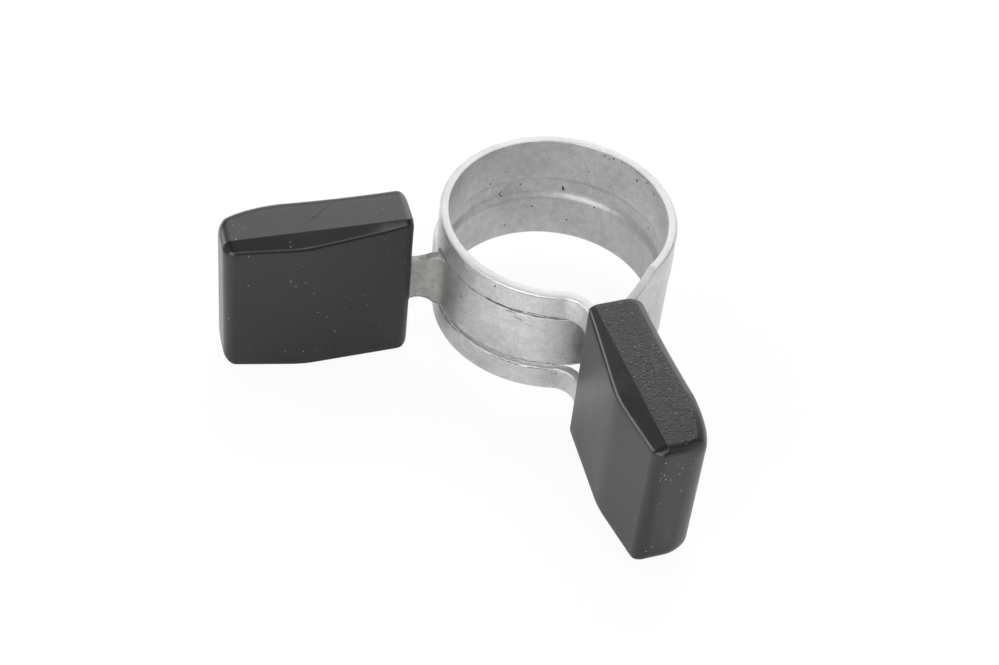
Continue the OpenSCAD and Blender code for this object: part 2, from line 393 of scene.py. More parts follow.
STRIP_SCARS_AND_GAP_SHADE = tuple(
    scar((along, height, face), (along, height, face), half_width)
    for face, pits in STRIP_PITS.items()
    for along, height, half_width in pits
) + tuple(
    scar((*start, face), (*end, face), half_width, strength)
    for face, creases in STRIP_CREASES_AND_GAP_SHADE.items()
    for start, end, half_width, strength in creases
)
# Faint scratches across the top of the left grip
LEFT_GRIP_SCARS = (
    scar((13.0, -9.3, 18.7), (19.3, -4.5, 18.4), 0.12, 0.8),
    scar((19.3, -4.5, 18.4), (22.4, -2.0, 18.3), 0.1, 0.6),
    scar((19.6, -3.6, 18.4), (20.9, -2.8, 18.3), 0.12, 0.6),
)
# A long curved gouge and three dirty dents in the top of the right grip
RIGHT_GRIP_SCARS = (
    scar((13.9, -6.5, 18.6), (17.4, -5.1, 18.5), 0.12, 0.7),
    scar((17.4, -5.1, 18.5), (20.4, -4.6, 18.4), 0.14),
    scar((20.4, -4.6, 18.4), (22.2, -4.5, 18.3), 0.12, 0.7),
    scar((18.0, -5.7, 18.5), (18.1, -5.7, 18.5), 0.28),
    scar((18.8, -5.7, 18.4), (18.9, -5.6, 18.4), 0.2),
    scar((19.5, -5.5, 18.4), (19.6, -5.4, 18.4), 0.28),
)


# ---------------------------------------------------------------- finishes


@dataclass(frozen=True)
class ZincCoatedSteel:
    """Cold-rolled spring steel, tumbled in zinc powder until it is coated.

    The coating turns the strip an even pale grey with a soft, matt metallic sheen. It
    mottles at half a millimetre and again at two, and shows small dark pits where the
    powder missed. The sheared edge is paler and more even than the faces.
    """

    name: str = "zinc_coated_spring_steel"
    pale: str = "#dcdddc"
    dull: str = "#b6b8b7"
    # Colour of the pits and scars, and of the painted shadow in the gaps beside the tongue
    dark_marks_and_gap_shade: str = "#3f3e3b"
    grime: str = "#6d6a60"
    metallic: float = 1.0
    roughness: float = 0.46
    # How far the mottling takes the roughness down and up
    smoother: float = 0.09
    rougher: float = 0.12
    grain: float = 0.45 * MM
    mottle: float = 1.7 * MM
    cloud: float = 10 * MM
    # The mottle's share beside the grain, and the cloud's share beside both
    mottle_share: float = 0.5
    cloud_share: float = 0.3
    # The mixed noise stays near its middle: this range of it runs from dull to pale
    dull_below: float = 0.36
    pale_above: float = 0.64
    pit_spacing: float = 3.4 * MM
    pit_radius: float = 0.2 * MM
    pitless: float = 0.55
    pit_strength: float = 0.8
    scar_waver: float = 0.35 * MM
    # Handled metal by the left grip: from here on along the strip it is grubby
    grime_from: float = 86 * MM
    grime_over: float = 14 * MM
    bump_height: float = 0.03 * MM
    scars: tuple[Scar, ...] = STRIP_SCARS_AND_GAP_SHADE

    def build(self) -> bpy.types.Material:
        """Makes the material.

        Returns:
            The material, with a node tree of its own.
        """
        material = new_material(self.name)
        tree = material.node_tree
        place = add_node(tree, "Attribute", output="Vector", attribute_name=STRIP_PLACE)
        grain, mottle, cloud = (
            add_node(tree, "TexNoise", {**NOISE, "Vector": place, "Scale": 1 / size, "Detail": detail})
            for size, detail in ((self.grain, 2.0), (self.mottle, 3.0), (self.cloud, 2.0))
        )
        fine = add_node(tree, "Mix", {0: self.mottle_share, 2: grain, 3: mottle})
        shade = add_node(tree, "Mix", {0: self.cloud_share, 2: fine, 3: cloud})
        spread = {"Value": shade, "From Min": self.dull_below, "From Max": self.pale_above}
        paleness = add_node(tree, "MapRange", spread)
        clean_to = -self.grime_from
        reach = {
            "Value": add_node(tree, "SeparateXYZ", {0: place}, "X"),
            "From Min": clean_to,
            "From Max": clean_to - self.grime_over,
        }
        near_tab = add_node(tree, "MapRange", reach, interpolation_type="SMOOTHSTEP")
        handled = add_node(tree, "Math", {0: near_tab, 1: mottle}, operation="MULTIPLY")
        marks_and_gap_shade = self.marks_and_gap_shade(tree, place)
        coats = ((self.pale, paleness), (self.grime, handled), (self.dark_marks_and_gap_shade, marks_and_gap_shade))
        colour = coated(tree, self.dull, coats)
        low, high = self.roughness - self.smoother, self.roughness + self.rougher
        rough = add_node(tree, "MapRange", {"Value": mottle, "To Min": low, "To Max": high})
        height = add_node(tree, "Math", {0: fine, 1: marks_and_gap_shade}, operation="SUBTRACT")
        relief = {"Height": height, "Strength": 1.0, "Distance": self.bump_height}
        bump = add_node(tree, "Bump", relief)
        surface = {"Metallic": self.metallic, "Base Color": colour, "Roughness": rough, "Normal": bump}
        feed(tree, tree.nodes["Principled BSDF"], surface)
        return material

    def marks_and_gap_shade(self, tree: Tree, place: Socket) -> Socket:
        """Makes the nodes for the scattered pits and the scars, with the painted shadow in the gaps
        beside the tongue.

        Args:
            tree: the material's node tree.
            place: the output that holds each point's place in the flat strip.

        Returns:
            The output that is 1 in a scar, less in a pit and 0 elsewhere.
        """
        spacing, radius = self.pit_spacing, self.pit_radius
        pits = spots(tree, place, spacing, radius, self.pitless, self.pit_strength)
        if not self.scars:
            return pits
        size, middle = self.scar_waver, (0.5, 0.5, 0.5)
        waver = add_node(
            tree, "TexNoise", {"Vector": place, "Scale": 1 / size, "Detail": 1.0}, "Color"
        )
        centred = add_node(tree, "VectorMath", {0: waver, 1: middle}, operation="SUBTRACT")
        moved = {0: centred, 1: (size, size, size), 2: place}
        wavering_place = add_node(tree, "VectorMath", moved, operation="MULTIPLY_ADD")
        return strongest(tree, [pits] + [s.mask(tree, wavering_place) for s in self.scars])


@dataclass(frozen=True)
class MouldedPlastic:
    """Black polyethylene, injection moulded against a steel mould.

    It is almost black in itself, so the eye mostly gets the soft satin reflection. The
    sides came off a smooth mould face that left upright waves. The flat top is duller and
    can have a leathery grain. Handling added scars, scuffs and specks of dust. Pale specks on a
    leathery top are also painted glints of its grain.
    """

    name: str
    scars: tuple[Scar, ...]
    body: str = "#101012"
    # Pale colour of dust and scuffs, and of the painted glints of the leathery top's grain
    worn_and_glint: str = "#8d8b88"
    scarred: str = "#46403a"
    ior: float = 1.51
    roughness: float = 0.3
    top_roughness: float = 0.44
    # How far up a face has to look to count a little as the flat top, and to count fully
    top_from: float = 0.97
    top_fully: float = 0.99
    # The real grain is finer than the eye resolves from here, so it is drawn this coarse
    grain: float = 0.55 * MM
    grain_height: float = 0.3 * MM
    wave_width: float = 7 * MM
    wave_length: float = 60 * MM
    wave_height: float = 0.12 * MM
    speck_spacing: float = 1.0 * MM
    speck_radius: float = 0.2 * MM
    speck_patch: float = 8 * MM
    # Pale specks close together on the top: scuffs that the leathery face keeps in its pores, and
    # painted glints of its grain
    scuff_and_glint_spacing: float = 0.42 * MM
    scuff_and_glint_radius: float = 0.17 * MM
    scuff_and_glint_patch: float = 11 * MM
    scuff_and_glint_strength: float = 0.0
    speckless: float = 0.4
    # Specks are full in a patch, where its noise is high, and this faint between the patches
    patch_from: float = 0.42
    patch_fully: float = 0.6
    between_patches: float = 0.15
    scar_depth: float = 0.05 * MM
    # Moves the patterns, so that two pieces of one mould don't share their marks
    pattern_shift: float = 0.0

    def build(self) -> bpy.types.Material:
        """Makes the material.

        Returns:
            The material, with a node tree of its own.
        """
        material = new_material(self.name)
        tree = material.node_tree
        mould_place = add_node(tree, "Attribute", output="Vector", attribute_name=MOULD_PLACE)
        shift = (self.pattern_shift, 0, 0)
        place = add_node(tree, "VectorMath", {0: mould_place, 1: shift}, operation="ADD")
        normal = add_node(tree, "NewGeometry", output="True Normal")
        up = add_node(tree, "SeparateXYZ", {0: normal}, "Z")
        flat = {"Value": up, "From Min": self.top_from, "From Max": self.top_fully}
        top = add_node(tree, "MapRange", flat)
        dust = self.specks(tree, place, self.speck_spacing, self.speck_radius, self.speck_patch)
        # On the top, pale specks that are scuffs and also painted glints of the grain
        scuffs_and_glints = self.specks(tree, place, self.scuff_and_glint_spacing, self.scuff_and_glint_radius, self.scuff_and_glint_patch)
        on_top = add_node(tree, "Math", {0: scuffs_and_glints, 1: top}, operation="MULTIPLY")
        wear_and_glints = {0: on_top, 1: self.scuff_and_glint_strength, 2: dust}
        specks = add_node(tree, "Math", wear_and_glints, operation="MULTIPLY_ADD", use_clamp=True)
        scars = strongest(tree, [s.mask(tree, mould_place) for s in self.scars])
        colour = coated(tree, self.body, ((self.worn_and_glint, specks), (self.scarred, scars)))
        matt = {"Value": top, "To Min": self.roughness, "To Max": self.top_roughness}
        surface = {
            "IOR": self.ior,
            "Base Color": colour,
            "Roughness": add_node(tree, "MapRange", matt),
            "Normal": self.relief(tree, place, top, scars),
        }
        feed(tree, tree.nodes["Principled BSDF"], surface)
        return material

    def relief(self, tree: Tree, place: Socket, top: Socket, scars: Socket) -> Socket:
        """Makes the nodes for the waves, the grain of the top and the depth of the scars.

        Args:
            tree: the material's node tree.
            place: the output that holds each point's place in the shifted pattern.
            top: the output that is 1 on the flat top.
            scars: the output that is 1 in a scar.

        Returns:
            The output with the normal.
        """
        fine = {**NOISE, "Vector": place, "Scale": 1 / self.grain, "Detail": 2.0}
        grain = add_node(tree, "TexNoise", fine)
        leathery = add_node(tree, "Math", {0: grain, 1: top}, operation="MULTIPLY")
        across, upwards = 1 / self.wave_width, 1 / self.wave_length
        stretched = add_node(tree, "Mapping", {"Vector": place, "Scale": (across, across, upwards)})
        wave = add_node(tree, "TexNoise", {"Vector": stretched, "Scale": 1.0, "Detail": 1.0})
        bump = {"Strength": 1.0}
        for height, depth, inward in (
            (wave, self.wave_height, False),
            (leathery, self.grain_height, False),
            (scars, self.scar_depth, True),
        ):
            bump |= {"Height": height, "Distance": depth}
            bump["Normal"] = add_node(tree, "Bump", bump, invert=inward)
        return bump["Normal"]

    def specks(self, tree: Tree, place: Socket, spacing: float, radius: float, patch: float) -> Socket:
        """Makes the nodes for specks that lie in patches and are faint between them.

        Args:
            tree: the material's node tree.
            place: the output that holds each point's place in the shifted pattern.
            spacing: how far apart they lie.
            radius: the radius of the largest.
            patch: the size of a patch.

        Returns:
            The output that is 1 in a speck and 0 elsewhere.
        """
        full = {"From Min": self.patch_from, "From Max": self.patch_fully}
        patches = add_node(tree, "TexNoise", {"Vector": place, "Scale": 1 / patch, "Detail": 1.0})
        faint = {"Value": patches, "To Min": self.between_patches}
        strength = add_node(tree, "MapRange", full | faint)
        return spots(tree, place, spacing, radius, self.speckless, strength)


# ---------------------------------------------------------------- the strip


class Side(Enum):
    """Which way round the ring an arm of the strip runs from the back."""

    LEFT = 1
    RIGHT = -1


@dataclass(frozen=True)
class StripSizes:
    """Driving sizes of the strip. Angles about the ring count from the back."""

    bore_radius: float = 24 * MM
    thickness: float = 2 * MM
    half_width: float = 14 * MM
    grip_turn: float = 227.4
    bead_depth: float = 1 * MM
    bead_crest: float = 5 * MM
    bead_flank: float = 2.4 * MM
    bead_left_end: float = 121
    bead_right_end: float = 68
    bead_ramp: float = 5 * MM
    window_half: float = 7.7 * MM
    window_start: float = 129
    window_corner: float = 2.5 * MM
    tongue_half: float = 7 * MM
    tongue_lift: float = 0.35 * MM
    shoulder_start: float = 99
    shoulder_end: float = 116
    # Shares of the shoulder's length that round its outer and its inner corner
    shoulder_crisp: float = 0.04
    shoulder_soft: float = 0.12
    # Blanking rolls the outer edges of the rim over, and punching one edge of the window. An
    # edge is the rim's where it is nearer than the margin to the strip's full width
    rim_margin: float = 0.07 * MM
    rolled_round: float = 0.55 * MM
    plain_round: float = 0.25 * MM
    lower_round: float = 0.4 * MM
    sharp_round: float = 0.12 * MM
    # The blanking tool leaves the long edges of the window and the tongue a little ragged
    ragged_depth: float = 0.07 * MM
    ragged_length: float = 1.1 * MM
    ragged_most: float = 1.7
    step: float = 0.42 * MM

    @property
    def middle_radius(self) -> float:
        """Radius of the ring at mid-thickness."""
        return self.bore_radius + self.thickness / 2

    def along(self, angle: float) -> float:
        """Length of flat strip from the back to an angle of the ring."""
        return self.middle_radius * math.radians(angle)

    def rows(self) -> np.ndarray:
        """Heights of the sheet's rows, close together at the bead and the window's corners.

        Returns:
            The heights, from the lower edge to the upper one.
        """
        inner_crest = (self.bead_crest - self.bead_flank) / 2
        foot = self.bead_crest / 2 + self.bead_flank
        corner = self.window_half - self.window_corner
        # The bead's crest, its flank, what is left below the window's corner, and the leg
        crest, flank, rest, leg = (
            np.linspace(low, high, count + 1)[1:]
            for low, high, count in (
                (0, inner_crest, 3),
                (inner_crest, foot, 7),
                (foot, corner, 2),
                (self.window_half, self.half_width, 8),
            )
        )
        turn = corner + self.window_corner * np.sin(np.linspace(0, math.pi / 2, 8))[1:]
        upper = np.concatenate([crest, flank, rest, turn, leg])
        return np.concatenate([-upper[::-1], [0.0], upper])


@dataclass(frozen=True)
class Tab:
    """Sizes of a bent-out end of the strip, and how far out its grip begins."""

    bend_radius: float
    offset: float
    half_width: float
    grip_at: float


@dataclass(frozen=True)
class ArmPlan:
    """Middle line of one arm of the strip from above: ring, bend and tab."""

    side: Side
    strip: StripSizes
    tab: Tab
    tip: float

    @property
    def leave(self) -> float:
        """Angle from the back at which the arm leaves the ring, in radians."""
        bend = self.tab.bend_radius
        lift = (self.tab.offset + bend) / (self.strip.middle_radius + bend)
        return math.radians(self.strip.grip_turn) - math.asin(lift)

    @property
    def tab_start(self) -> float:
        """Length of flat strip from the back to the start of the tab."""
        swing = math.pi / 2 - (math.radians(self.strip.grip_turn) - self.leave)
        return self.strip.middle_radius * self.leave + self.tab.bend_radius * swing

    def tab_place(self, out_along: float) -> float:
        """Length of flat strip from the back to a point of the tab.

        Args:
            out_along: the point's distance from the ring's middle along the grip's axis.

        Returns:
            The length.
        """
        reach = self.strip.middle_radius + self.tab.bend_radius
        across = self.tab.offset + self.tab.bend_radius
        return self.tab_start + out_along - math.sqrt(reach**2 - across**2)

    def bent(self, along: np.ndarray, out: np.ndarray, height: np.ndarray) -> np.ndarray:
        """Puts points of the flat strip where the bent strip has them.

        Args:
            along: length of strip from the back.
            out: distance from the middle of the thickness, away from the bore.
            height: distance above the middle of the band.

        Returns:
            The points in the row frame, one row each.
        """
        radius, bend = self.strip.middle_radius, self.tab.bend_radius
        out_turn = math.radians(self.strip.grip_turn)
        bend_from = radius * self.leave
        theta = np.minimum(along / radius, self.leave)
        swing = np.clip(along - bend_from, 0, self.tab_start - bend_from) / bend
        run = np.maximum(along - self.tab_start, 0)
        heading = theta - swing
        x = radius * np.sin(theta) + bend * (np.sin(theta) - np.sin(heading))
        y = radius * np.cos(theta) + bend * (np.cos(theta) - np.cos(heading))
        x += run * math.sin(out_turn) + out * np.sin(heading)
        y += run * math.cos(out_turn) + out * np.cos(heading)
        return np.stack([-self.side.value * x, y, height], axis=-1)


@dataclass
class Stretch:
    """One stretch of the strip: which arm, from where to where, and what it rides on."""

    name: str
    plan: ArmPlan
    start: float
    end: float
    bodies: tuple[str, ...]
    replaces: tuple[str, ...]
    open_end: bool = False


@dataclass
class Band:
    """The strip, cut into the stretches that the frame's bodies carry."""

    finish: ZincCoatedSteel
    edge_finish: ZincCoatedSteel
    sizes: StripSizes = field(default_factory=StripSizes)
    left_tab: Tab = Tab(bend_radius=5.5 * MM, offset=0.7 * MM, half_width=5.45 * MM, grip_at=32.8 * MM)
    right_tab: Tab = Tab(bend_radius=6 * MM, offset=3.5 * MM, half_width=14 * MM, grip_at=31.9 * MM)
    tab_in_grip: float = 24 * MM
    window_in_grip: float = 3 * MM
    tab_corner: float = 3 * MM
    # The angles from the middle of the back at which the stretches meet
    rear_seam: float = 60
    front_seam: float = 120
    # The angle in from each seam at which a stretch between two bodies finds a point of its inner face
    seam_margin: float = 2

    def stretches(self) -> list[Stretch]:
        """Plans the strip, from the back to each tab: the left arm goes to the right grip.

        Returns:
            The stretches of both arms.
        """
        s = self.sizes
        rear, front = s.along(self.rear_seam), s.along(self.front_seam)
        stretches = []
        for side, arm, tab in (
            (Side.LEFT, "window_arm", self.right_tab),
            (Side.RIGHT, "tongue_arm", self.left_tab),
        ):
            word = side.name.lower()
            near, far, node = f"{word}_side", f"{word}_arm", f"band_{word}_side"
            plan = ArmPlan(side, s, tab, tab.grip_at + self.tab_in_grip)
            tip = plan.tab_place(plan.tip)
            stretches += [
                Stretch(f"strip_rear_{word}", plan, 0, rear, ("back", near), ("band_back", node)),
                Stretch(f"strip_front_{word}", plan, rear, front, (near, far), (node,)),
                Stretch(f"strip_{arm}", plan, front, tip, (far,), (arm,), open_end=True),
            ]
        return stretches

    def limits(self, plan: ArmPlan, along: np.ndarray) -> tuple[np.ndarray, np.ndarray]:
        """Finds the lower and upper edge of the strip.

        Args:
            plan: the arm.
            along: length of strip from the back.

        Returns:
            The heights of the lower and of the upper edge.
        """
        s = self.sizes
        low, high = np.full_like(along, -s.half_width), np.full_like(along, s.half_width)
        if plan.side is Side.RIGHT:
            drop = self.shoulder(along)
            for sign, edge in ((-1, low), (1, high)):
                tongue = s.tongue_half + sign * s.tongue_lift
                edge[:] = sign * (s.half_width - drop * (s.half_width - tongue))
            neck_from = plan.tab_place(s.bore_radius + s.thickness)
            neck_length = self.left_tab.grip_at - 2 * s.thickness - s.bore_radius
            narrower = s.tongue_half - self.left_tab.half_width
            neck = ease((along - neck_from) / neck_length) * narrower
            low += neck + drop * self.ragged(along, 1)
            high -= neck + drop * self.ragged(along, 2)
        back = np.clip(along - (plan.tab_place(plan.tip) - self.tab_corner), 0, self.tab_corner)
        round_off = self.tab_corner - np.sqrt(self.tab_corner**2 - back**2)
        return low + round_off, high - round_off

    def ragged(self, along: np.ndarray, edge: int) -> np.ndarray:
        """How far a ragged edge wavers, by the length of strip from the back.

        Args:
            along: length of strip from the back.
            edge: the number of the edge, so that no two waver alike.

        Returns:
            The distance for each place.
        """
        s = self.sizes
        waver = wavering(along, s.ragged_length, SEED + edge)
        return s.ragged_depth * np.clip(waver, -s.ragged_most, s.ragged_most)

    def shoulder(self, along: np.ndarray) -> np.ndarray:
        """How far the shoulder has narrowed the strip: 0 at full width, 1 at the tongue.

        The slope is straight, with a rounded inner corner and a slightly rounded outer one.

        Args:
            along: length of strip from the back.

        Returns:
            The share for each place.
        """
        s = self.sizes
        start, end = s.along(s.shoulder_start), s.along(s.shoulder_end)
        share = (along - start) / (end - start)
        crisp, soft = s.shoulder_crisp, s.shoulder_soft
        outer = np.where(share < crisp, np.maximum(share + crisp, 0) ** 2 / (4 * crisp), share)
        inner = 1 - np.maximum(1 + soft - share, 0) ** 2 / (4 * soft)
        return np.where(share > 1 - soft, inner, outer)

    def bead(self, plan: ArmPlan, along: np.ndarray, height: np.ndarray, crest: float) -> np.ndarray:
        """How far the bead presses a face of the strip outwards.

        Args:
            plan: the arm.
            along: length of strip from the back.
            height: distance above the middle of the band.
            crest: width of the flat top of the bead on that face.

        Returns:
            The distance for each point.
        """
        s = self.sizes
        rise = ease((crest / 2 + s.bead_flank - np.abs(height)) / s.bead_flank)
        end = s.bead_left_end if plan.side is Side.LEFT else s.bead_right_end
        fade = ease((s.along(end) - along) / s.bead_ramp)
        return s.bead_depth * rise * fade

    def build(self) -> None:
        """Builds and dresses every stretch, and hangs each one that rides on a single body."""
        materials = [self.finish.build(), self.edge_finish.build()]
        for stretch in self.stretches():
            self.build_stretch(stretch, materials)

    def window_cells(self, stretch: Stretch, rows: np.ndarray) -> tuple[np.ndarray, np.ndarray]:
        """Divides the window arm so that its cells fit the window, which holds no metal.

        Args:
            stretch: the window arm.
            rows: the heights of the rows.

        Returns:
            Length of strip for each column, and which grid cells hold metal.
        """
        s = self.sizes
        blind = s.along(s.window_start)
        open_from = blind + s.window_corner
        close = stretch.plan.tab_place(self.right_tab.grip_at + self.window_in_grip)
        # The window's corners stretch the columns before it, so these start closer together
        closer = 1.2
        first = round((blind - stretch.start) / s.step * closer)
        last = first + round((close - open_from) / s.step)
        tail = max(2, round((stretch.end - close) / s.step))
        columns = np.concatenate(
            [
                np.linspace(stretch.start, blind, first + 1),
                np.linspace(open_from, close, last - first + 1)[1:],
                np.linspace(close, stretch.end, tail + 1)[1:],
            ]
        )
        metal = np.ones((len(columns) - 1, len(rows) - 1), bool)
        metal[first:last, np.abs(rows[:-1] + rows[1:]) / 2 < s.window_half] = False
        return columns, metal

    def shape_window(
        self, stretch: Stretch, along: np.ndarray, height: np.ndarray
    ) -> tuple[np.ndarray, np.ndarray]:
        """Rounds the corners of the window's blind end and makes its long edges ragged.

        Args:
            stretch: the window arm.
            along: length of strip for each grid point.
            height: height of each grid point.

        Returns:
            The new lengths and heights.
        """
        s = self.sizes
        blind = s.along(s.window_start)
        beyond = np.clip(np.abs(height) - (s.window_half - s.window_corner), 0, s.window_corner)
        round_off = s.window_corner - np.sqrt(s.window_corner**2 - beyond**2)
        pull = np.clip((along - stretch.start) / (blind - stretch.start), 0, 1) ** 2
        along = along + np.where(along <= blind + TINY, pull * round_off, 0)
        near = np.clip(1 - (np.abs(height) - s.window_half) / (s.window_corner / 2), 0, 1)
        past = ease((along - blind - s.window_corner) / s.window_corner)
        waver = np.where(height > 0, self.ragged(along, 3), self.ragged(along, 4))
        return along, height + near * past * waver

    def flat_grid(self, stretch: Stretch) -> tuple[np.ndarray, np.ndarray, np.ndarray]:
        """Lays a stretch out flat.

        Args:
            stretch: the stretch.

        Returns:
            Length of strip and height for each grid point, and which grid cells hold metal.
        """
        s = self.sizes
        rows = s.rows()
        is_window = stretch.plan.side is Side.LEFT and stretch.open_end
        if is_window:
            columns, metal = self.window_cells(stretch, rows)
        else:
            count = max(2, round((stretch.end - stretch.start) / s.step))
            columns = np.linspace(stretch.start, stretch.end, count + 1)
            metal = np.ones((count, len(rows) - 1), bool)
        along = np.repeat(columns[:, None], len(rows), axis=1)
        height = np.repeat(rows[None, :], len(columns), axis=0)
        if is_window:
            along, height = self.shape_window(stretch, along, height)
        low, high = self.limits(stretch.plan, along)
        share = height / s.half_width
        if stretch.plan.side is Side.RIGHT:
            height = (low + high) / 2 + share * (high - low) / 2
        else:
            height = np.where(share < 0, share * -low, share * high)
        return along, height, metal

    def build_stretch(self, stretch: Stretch, materials: list[bpy.types.Material]) -> None:
        """Builds one stretch as a closed mesh, hung on its body where it rides on only one.

        Args:
            stretch: the stretch.
            materials: the finish of the faces and that of the sheared edges.
        """
        s = self.sizes
        along, height, metal = self.flat_grid(stretch)
        half = s.thickness / 2
        outer = half + self.bead(stretch.plan, along, height, s.bead_crest)
        inner = -half + self.bead(stretch.plan, along, height, s.bead_crest - s.bead_flank)
        signed = stretch.plan.side.value * along.ravel()
        grids, flats = [], []
        for out, face in ((outer, half), (inner, -half)):
            grids.append(stretch.plan.bent(along.ravel(), out.ravel(), height.ravel()))
            flats.append(np.stack([signed, height.ravel(), np.full_like(signed, face)], axis=-1))
        obj = link(self.shell(stretch, np.concatenate(grids), np.concatenate(flats), metal))
        for material in materials:
            obj.data.materials.append(material)
        bevel = obj.modifiers.new("rounded edge", "BEVEL")
        bevel.limit_method = "WEIGHT"
        bevel.width = s.rolled_round
        bevel.segments = 3
        bevel.use_clamp_overlap = False
        finish_mesh(obj)
        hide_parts(*stretch.replaces)
        if len(stretch.bodies) == 2:
            margin = s.along(self.seam_margin)
            start, end = (
                tuple(stretch.plan.bent(np.array([a]), np.array([-half]), np.array([0.0]))[0])
                for a in (stretch.start + margin, stretch.end - margin)
            )
            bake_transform(obj)
        else:
            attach(obj, stretch.bodies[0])
        log.info("%s: %d faces", obj.name, len(obj.data.polygons))

    def edge_weight(self, height: float, is_outer: bool) -> float:
        """How round an edge is, as a share of the rolled ones.

        Args:
            height: the edge's height above the middle of the band.
            is_outer: whether it is an edge of the outer face.

        Returns:
            The share.
        """
        s = self.sizes
        is_rim = abs(height) > s.half_width - s.rim_margin
        if is_rim and is_outer:
            return 1.0
        if height > 0 and not is_rim:
            return s.sharp_round / s.rolled_round
        is_lower = is_outer and not is_rim
        return (s.lower_round if is_lower else s.plain_round) / s.rolled_round

    def shell(
        self, stretch: Stretch, points: np.ndarray, flat: np.ndarray, metal: np.ndarray
    ) -> bpy.types.Mesh:
        """Joins the outer and inner grids into a closed shell.

        Args:
            stretch: the stretch.
            points: the outer and then the inner grid's points, bent.
            flat: their places in the flat strip.
            metal: which cells hold metal.

        Returns:
            The mesh, with its sharp edges weighted for rounding.
        """
        columns, rows = metal.shape[0] + 1, metal.shape[1] + 1
        total = columns * rows

        def number(i: int, j: int, face: int) -> int:
            """Number of a grid point: its column, its row, and 0 outside or 1 inside."""
            return face * total + i * rows + j

        faces: list[tuple[int, ...]] = []
        kinds: list[int] = []
        cut: set[tuple[int, int]] = set()
        sharp: set[tuple[int, int]] = set()
        for i, j in zip(*np.nonzero(metal)):
            corners = [(i, j), (i + 1, j), (i + 1, j + 1), (i, j + 1)]
            faces.append(tuple(number(*c, 0) for c in corners))
            faces.append(tuple(number(*c, 1) for c in corners[::-1]))
            kinds += [0, 0]
            neighbours = [(i, j - 1), (i + 1, j), (i, j + 1), (i - 1, j)]
            for side, (ni, nj) in enumerate(neighbours):
                if 0 <= ni < columns - 1 and 0 <= nj < rows - 1 and metal[ni, nj]:
                    continue
                a, b = corners[side], corners[(side + 1) % 4]
                faces.append((number(*b, 0), number(*a, 0), number(*a, 1), number(*b, 1)))
                kinds.append(1)
                seam = ni < 0 or (ni >= columns - 1 and not stretch.open_end)
                for face in (0, 1):
                    edge = tuple(sorted((number(*a, face), number(*b, face))))
                    (sharp if seam else cut).add(edge)
                if seam:
                    sharp |= {tuple(sorted((number(*c, 0), number(*c, 1)))) for c in (a, b)}
        if stretch.plan.side is Side.LEFT:
            faces = [f[::-1] for f in faces]
        used = sorted({v for f in faces for v in f})
        renumber = {v: n for n, v in enumerate(used)}
        faces = [tuple(renumber[v] for v in f) for f in faces]
        mesh = smooth_mesh(stretch.name, points[used], faces)
        mesh.polygons.foreach_set("material_index", np.array(kinds))
        keep_places(mesh, STRIP_PLACE, flat[used])
        weight = mesh.attributes.new("bevel_weight_edge", "FLOAT", "EDGE")
        is_sharp = mesh.attributes.new("sharp_edge", "BOOLEAN", "EDGE")
        for edge in mesh.edges:
            key = tuple(sorted((used[edge.vertices[0]], used[edge.vertices[1]])))
            if key in cut:
                height = float(flat[list(key), 1].mean())
                weight.data[edge.index].value = self.edge_weight(height, key[0] < total)
            is_sharp.data[edge.index].value = key in sharp
        mesh.update()
        return mesh


# ---------------------------------------------------------------- the grips


